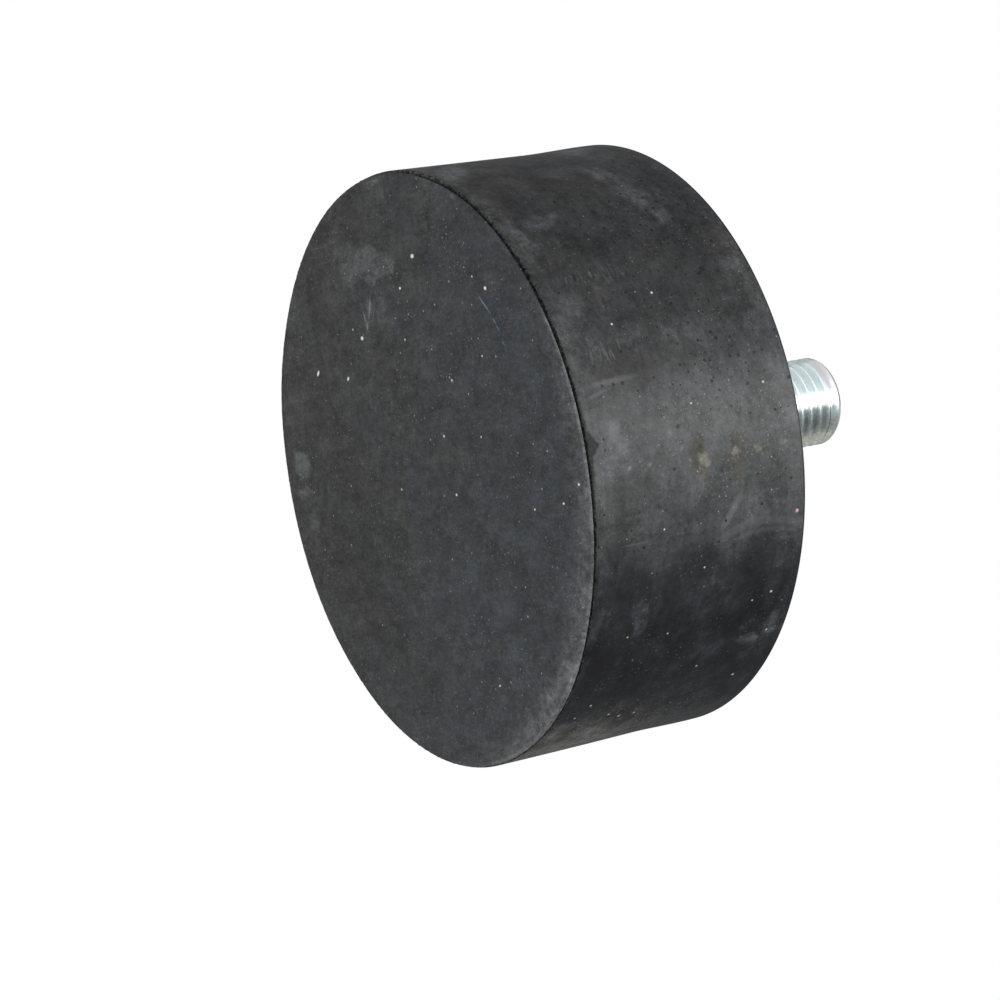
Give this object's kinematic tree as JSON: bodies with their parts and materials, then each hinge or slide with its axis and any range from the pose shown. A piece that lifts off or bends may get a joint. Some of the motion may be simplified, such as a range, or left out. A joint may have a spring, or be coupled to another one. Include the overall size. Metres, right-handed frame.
{
  "type": "anti-vibration mount",
  "caption": "Round rubber buffer bonded to a steel plate with a central threaded stud; the other end is a plain rubber face.",
  "frame": {"origin": "centre of the plain rubber face, which is the lowest plane", "axes": "+Z along the common axis, from the rubber face through the steel plate and out along the stud; X and Y are free, because the mount is round"},
  "size_m": [0.1, 0.1, 0.0825],
  "materials": {
    "rubber": "moulded dark grey to black rubber, matt, with a dusty bloom, fine pits and light scuffs",
    "plate_steel": "bright zinc plating, satin",
    "stud_zinc": "bright blue-white zinc plating on a rolled thread"
  },
  "bodies": {
    "root": {"rubber_body": "rubber", "bonding_plate": "plate_steel", "threaded_stud": "stud_zinc"}
  },
  "joints": []
}
